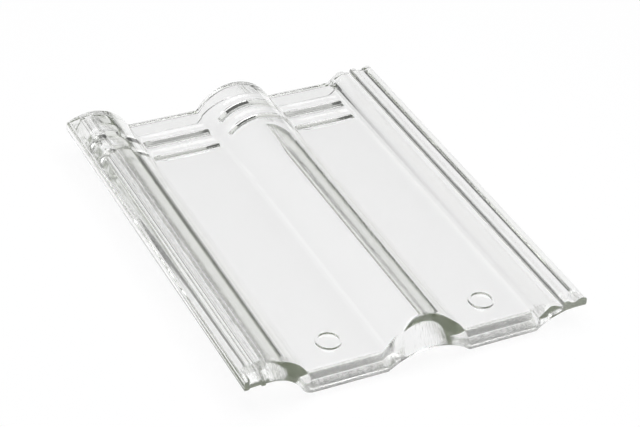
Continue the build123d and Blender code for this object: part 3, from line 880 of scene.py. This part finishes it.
bpy.ops.mesh.primitive_plane_add(size=PAPER_SIDE, location=(0, 0, -PAPER_GAP))
floor = bpy.context.object
floor.name = "studio_floor"
paper = bpy.data.materials.new("white_paper_floor")
paper.use_nodes = True
tree = paper.node_tree
tree.nodes.clear()
path = add_node(tree, "ShaderNodeLightPath")
seen_inputs = {0: path.outputs["Is Camera Ray"], 1: SEEN_SHARE}
seen = add_node(tree, "ShaderNodeMath", seen_inputs, operation="MULTIPLY").outputs[0]
either_inputs = {0: path.outputs["Is Transmission Ray"], 1: path.outputs["Is Glossy Ray"]}
either = add_node(tree, "ShaderNodeMath", either_inputs, operation="MAXIMUM").outputs[0]
through = add_node(tree, "ShaderNodeMath", {0: either, 1: THROUGH_SHARE}, operation="MULTIPLY").outputs[0]
share = add_node(tree, "ShaderNodeMath", {0: seen, 1: through}, operation="MAXIMUM").outputs[0]
matte = add_node(tree, "ShaderNodeBsdfDiffuse", {"Color": rgb("#F4F4F6")})
glow = add_node(tree, "ShaderNodeEmission", {"Color": rgb("#FFFFFF"), "Strength": 1.0})
blend = add_node(tree, "ShaderNodeMixShader", {0: share, 1: matte.outputs[0], 2: glow.outputs[0]})
add_node(tree, "ShaderNodeOutputMaterial", {"Surface": blend.outputs[0]})
floor.data.materials.append(paper)
print("floor material:", paper.name)

# %% [markdown]
# ## Room
#
# Acrylic shows its surroundings as much as itself. The pans mirror the room behind the tile, and
# the fronts of the head the room before it. The room is dim all round, and darker behind, so the
# pans stay clear and the fronts turn a middle grey. The level fades from one to the other with
# the direction along the tile, which is -1 straight before it and 1 straight behind it.

# %% Room
FRONT_LEVEL = 0.3
BACK_LEVEL = 0.15
FRONT_FROM = -0.4
BACK_FROM = 0.3

world = bpy.data.worlds.new("studio")
bpy.context.scene.world = world
world.use_nodes = True
tree = world.node_tree
way = add_node(tree, "ShaderNodeTexCoord")
sides = add_node(tree, "ShaderNodeSeparateXYZ", {"Vector": way.outputs["Generated"]})
fade = {"From Min": FRONT_FROM, "From Max": BACK_FROM, "To Min": FRONT_LEVEL, "To Max": BACK_LEVEL}
level = add_node(tree, "ShaderNodeMapRange", {"Value": sides.outputs["Y"], **fade})
room = tree.nodes["Background"]
room.inputs["Color"].default_value = rgb("#FFFFFF")
tree.links.new(level.outputs["Result"], room.inputs["Strength"])
print("room level before and behind the tile:", FRONT_LEVEL, BACK_LEVEL)

# %% [markdown]
# ## Lamp
#
# One broad square lamp hangs over the tile. Its size keeps the shadow soft, and its power is
# chosen so that a matte colour renders about as it is written.

# %% Lamp
LAMP_SIDE = 1.6
LAMP_HEIGHT = 1.6
LAMP_WATTS = 31.0

lamp = bpy.data.lights.new("top_light", "AREA")
lamp.shape = "RECTANGLE"
lamp.size = LAMP_SIDE
lamp.size_y = LAMP_SIDE
lamp.energy = LAMP_WATTS
holder = bpy.data.objects.new("top_light", lamp)
holder.location = (0.0, 0.0, LAMP_HEIGHT)
bpy.context.scene.collection.objects.link(holder)
print("lamp:", LAMP_WATTS, "W at", LAMP_HEIGHT, "m")

# %% [markdown]
# ## Camera
#
# The camera looks down on the tile from in front of its head and a little to the left. Its place
# is given in the tile's millimetres, and its direction as three unit vectors, to the right, down
# and ahead. The focal length is in pixels of a picture 640 pixels wide and is turned into
# millimetres on a sensor 36 mm wide.

# %% Camera
CAMERA_MM = (-542.4, -1121.1, 1071.3)
RIGHT = Vector((0.8976, -0.4374, 0.0547))
DOWN = Vector((-0.2133, -0.5397, -0.8144))
AHEAD = Vector((0.3857, 0.7193, -0.5777))
FOCAL_PIXELS = 2001.0
PICTURE_PIXELS = 640
SENSOR_MM = 36.0

camera = bpy.data.objects.new("camera", bpy.data.cameras.new("camera"))
bpy.context.scene.collection.objects.link(camera)
camera.data.sensor_width = SENSOR_MM
camera.data.lens = FOCAL_PIXELS * SENSOR_MM / PICTURE_PIXELS
turn = Matrix((RIGHT, -DOWN, -AHEAD)).transposed().to_4x4()
camera.matrix_world = Matrix.Translation(in_frame(*CAMERA_MM)) @ turn
bpy.context.scene.camera = camera
bpy.context.scene.view_settings.view_transform = "Standard"
print("lens:", round(camera.data.lens, 1), "mm")
